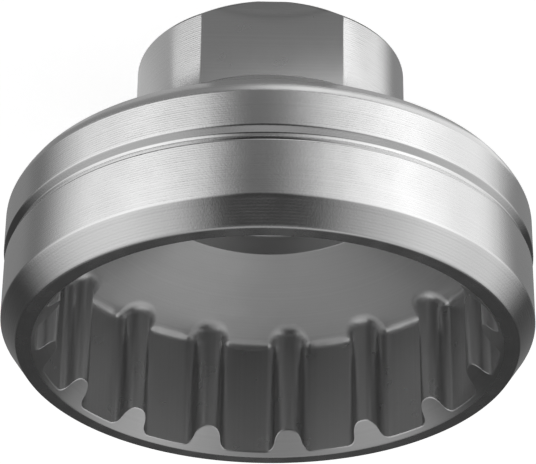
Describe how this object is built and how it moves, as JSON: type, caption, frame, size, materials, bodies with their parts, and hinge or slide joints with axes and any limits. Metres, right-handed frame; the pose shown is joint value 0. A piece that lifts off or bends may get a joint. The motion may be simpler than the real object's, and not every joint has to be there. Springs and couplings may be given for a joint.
{
  "type": "bottom bracket tool",
  "caption": "Turned aluminium socket tool with inner teeth for a notched bottom bracket cup, a conical web and a round hub with wrench flats and a square drive hole.",
  "frame": {"origin": "centre of the hub's end face, on which the tool stands", "axes": "+Z along the tool's axis from the hub's end to the toothed mouth; the two wrench flats face -Y and +Y"},
  "size_m": [0.0512, 0.0512, 0.033],
  "materials": {
    "anodised_aluminium": "clear anodised over fine turning marks"
  },
  "bodies": {
    "root": {"tool_body": "anodised_aluminium"}
  },
  "joints": []
}
